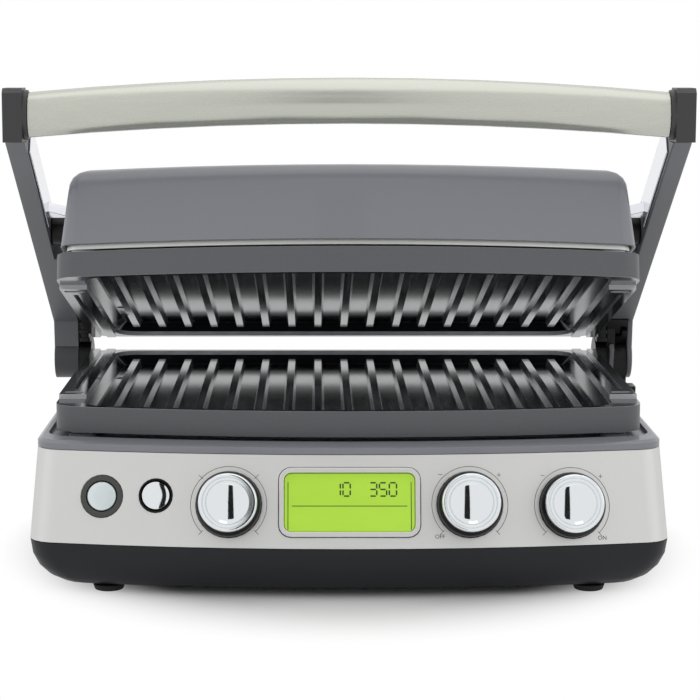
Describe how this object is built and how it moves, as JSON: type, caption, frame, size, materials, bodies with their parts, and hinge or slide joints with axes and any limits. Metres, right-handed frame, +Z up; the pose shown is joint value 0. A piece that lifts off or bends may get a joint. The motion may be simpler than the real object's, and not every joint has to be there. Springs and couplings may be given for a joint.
{
  "type": "electric contact grill",
  "caption": "Electric contact grill with a floating lid on two arms, ribbed cooking plates, a bowed steel control panel, display, knobs and buttons.",
  "frame": {"origin": "Middle of the footprint, on the counter that the rubber feet stand on", "axes": "+X to the right of the person using it, +Y to the back, +Z up; the handle and the control panel face -Y"},
  "size_m": [0.38, 0.3092, 0.2798],
  "materials": {
    "graphite_paint": "satin",
    "arm_plastic": "satin",
    "charcoal_plastic": "fine grain",
    "black_plastic": "satin",
    "brushed_steel": "brushed",
    "brushed_aluminium": "brushed",
    "chrome": "polished",
    "cast_plate": "satin nonstick coating",
    "rubber": "matt",
    "sheet_steel": "rolled",
    "screen": "glossy",
    "circuit_board": "solder mask"
  },
  "bodies": {
    "base": {"lower_housing": "charcoal_plastic", "front_panel": "brushed_steel", "deck": "graphite_paint", "front_left_foot": "rubber", "front_right_foot": "rubber", "rear_left_foot": "rubber", "rear_right_foot": "rubber", "lower_reflector": "sheet_steel", "lower_heating_element": "sheet_steel", "lower_temperature_sensor": "chrome", "plate_encoder": "sheet_steel", "temperature_encoder": "sheet_steel", "time_encoder": "sheet_steel", "start_button_ring": "black_plastic", "sear_button_ring": "black_plastic", "start_switch": "black_plastic", "sear_switch": "black_plastic", "display_frame": "brushed_steel", "display_window": "screen", "display_module": "black_plastic", "control_board": "circuit_board", "power_board": "circuit_board", "heater_relay": "black_plastic", "terminal_block": "black_plastic", "inlet_bushing": "rubber", "left_hinge_tower": "black_plastic", "right_hinge_tower": "black_plastic", "left_hinge_pin": "sheet_steel", "right_hinge_pin": "sheet_steel"},
    "arms": {"left_arm": "arm_plastic", "left_hinge_barrel": "charcoal_plastic", "right_arm": "arm_plastic", "right_hinge_cam": "black_plastic", "left_arm_trim": "brushed_aluminium", "right_arm_trim": "brushed_aluminium", "left_handle_block": "charcoal_plastic", "right_handle_block": "charcoal_plastic", "handle_tube": "brushed_aluminium", "left_pivot_stud": "black_plastic", "right_pivot_stud": "black_plastic"},
    "lid": {"lid_cover": "graphite_paint", "lid_pan": "brushed_steel", "upper_reflector": "sheet_steel", "upper_heating_element": "sheet_steel", "left_pivot_bracket": "sheet_steel", "right_pivot_bracket": "sheet_steel"},
    "upper_plate": {"upper_plate": "cast_plate"},
    "lower_plate": {"lower_plate": "cast_plate"},
    "plate_knob": {"plate_knob_skirt": "black_plastic", "plate_knob_cap": "chrome"},
    "temperature_knob": {"temperature_knob_skirt": "black_plastic", "temperature_knob_cap": "chrome"},
    "time_knob": {"time_knob_skirt": "black_plastic", "time_knob_cap": "chrome"},
    "start_button": {"start_button": "chrome"},
    "sear_button": {"sear_button": "chrome"},
    "drip_tray": {"drip_tray": "charcoal_plastic"},
    "release_lever": {"release_lever": "arm_plastic"}
  },
  "joints": [
    {"name": "arm_hinge", "type": "hinge", "parent": "base", "child": "arms", "pos_m": [0, 0.13784, 0.092], "axis": [-1, 0, 0], "range_deg": [-16.3, 156]},
    {"name": "lid_pivot", "type": "hinge", "parent": "arms", "child": "lid", "pos_m": [0, 0.03691, 0.18567], "axis": [1, 0, 0], "range_deg": [0, 12]},
    {"name": "upper_plate_off", "type": "slide", "parent": "lid", "child": "upper_plate", "axis": [0, -0.994, 0.1097], "range_m": [0, 0.06]},
    {"name": "lower_plate_off", "type": "slide", "parent": "base", "child": "lower_plate", "axis": [0, -0.9848, 0.1736], "range_m": [0, 0.06]},
    {"name": "plate_knob_turn", "type": "hinge", "parent": "base", "child": "plate_knob", "pos_m": [-0.06545, -0.13565, 0.05134], "axis": [0, 0.9563, -0.2924], "range_deg": [-180, 90]},
    {"name": "temperature_knob_turn", "type": "hinge", "parent": "base", "child": "temperature_knob", "pos_m": [0.06511, -0.13568, 0.05135], "axis": [0, 0.9563, -0.2924], "range_deg": [-135, 135]},
    {"name": "time_knob_turn", "type": "hinge", "parent": "base", "child": "time_knob", "pos_m": [0.12106, -0.13004, 0.04962], "axis": [0, 0.9563, -0.2924], "range_deg": [-135, 135]},
    {"name": "start_button_press", "type": "slide", "parent": "base", "child": "start_button", "axis": [0, 0.9563, -0.2924], "range_m": [0, 0.0012], "stiffness_N_per_m": 800, "springref_m": -0.002},
    {"name": "sear_button_press", "type": "slide", "parent": "base", "child": "sear_button", "axis": [0, 0.9563, -0.2924], "range_m": [0, 0.0012], "stiffness_N_per_m": 800, "springref_m": -0.002},
    {"name": "drip_tray_slide", "type": "slide", "parent": "base", "child": "drip_tray", "axis": [-1, 0, 0], "range_m": [0, 0.11]},
    {"name": "release_lever_slide", "type": "slide", "parent": "base", "child": "release_lever", "axis": [0, 0, 1], "range_m": [0, 0.004], "stiffness_N_per_m": 400, "springref_m": -0.003}
  ]
}
